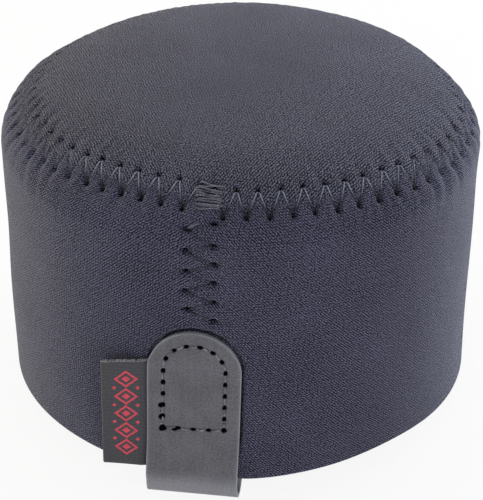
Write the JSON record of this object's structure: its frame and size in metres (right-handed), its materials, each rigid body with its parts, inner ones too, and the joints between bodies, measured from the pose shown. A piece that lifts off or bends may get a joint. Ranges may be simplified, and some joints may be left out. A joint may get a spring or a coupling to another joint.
{
  "type": "soft neoprene lens cap",
  "caption": "Round stretch lens cap: soft neoprene cup with a domed crown, zigzag-sewn rim and side seam, leather pull tab folded round the hem and a small woven side label.",
  "frame": {"origin": "on the cap's axis, at the level middle of the crown's lining, where the front rim of a lens or lens hood comes to rest", "axes": "+Z from the open mouth towards the crown; -Y is the front, near which the pull tab and the side seam lie; +X to the right as seen from the front"},
  "size_m": [0.12, 0.1228, 0.0902],
  "materials": {
    "knit_face": "fine charcoal jersey knit with a faint blue-violet cast, matt with a soft sheen",
    "neoprene_foam": "closed-cell black foam, matt, cut edge",
    "knit_lining": "plain black-grey jersey knit, matt",
    "panel_board": "thin black polyethylene board",
    "sewing_thread": "black bonded thread with a satin shine",
    "tab_leather": "smooth grey leather, satin, with a lighter cut edge",
    "label_tape": "dark grey woven tape with a plain red woven ornament"
  },
  "bodies": {
    "cover": {"crown_face_fabric": "knit_face", "crown_foam": "neoprene_foam", "crown_impact_panel": "panel_board", "crown_lining": "knit_lining", "wall_face_fabric": "knit_face", "wall_foam": "neoprene_foam", "wall_lining": "knit_lining", "rim_seam_needle_thread": "sewing_thread", "rim_seam_bobbin_thread": "sewing_thread", "side_seam_needle_thread": "sewing_thread", "side_seam_bobbin_thread": "sewing_thread", "bartack_needle_thread": "sewing_thread", "bartack_bobbin_thread": "sewing_thread", "tab_front": "tab_leather", "tab_back": "tab_leather", "tab_box_stitch_needle_thread": "sewing_thread", "tab_box_stitch_bobbin_thread": "sewing_thread", "label_margin": "label_tape"},
    "pull_fold": {"tab_loop": "tab_leather"},
    "label": {"label_leaf": "label_tape"}
  },
  "joints": [
    {"name": "pull_fold_swing", "type": "hinge", "parent": "cover", "child": "pull_fold", "pos_m": [-0.0109, -0.05659, -0.0779], "axis": [-0.982, 0.1891, 0], "range_deg": [-22, 22], "stiffness_Nm_per_rad": 0.04},
    {"name": "label_swing", "type": "hinge", "parent": "cover", "child": "label", "pos_m": [-0.02312, -0.05661, -0.0615], "axis": [0, 0, 1], "range_deg": [-26, 95], "stiffness_Nm_per_rad": 0.002}
  ]
}
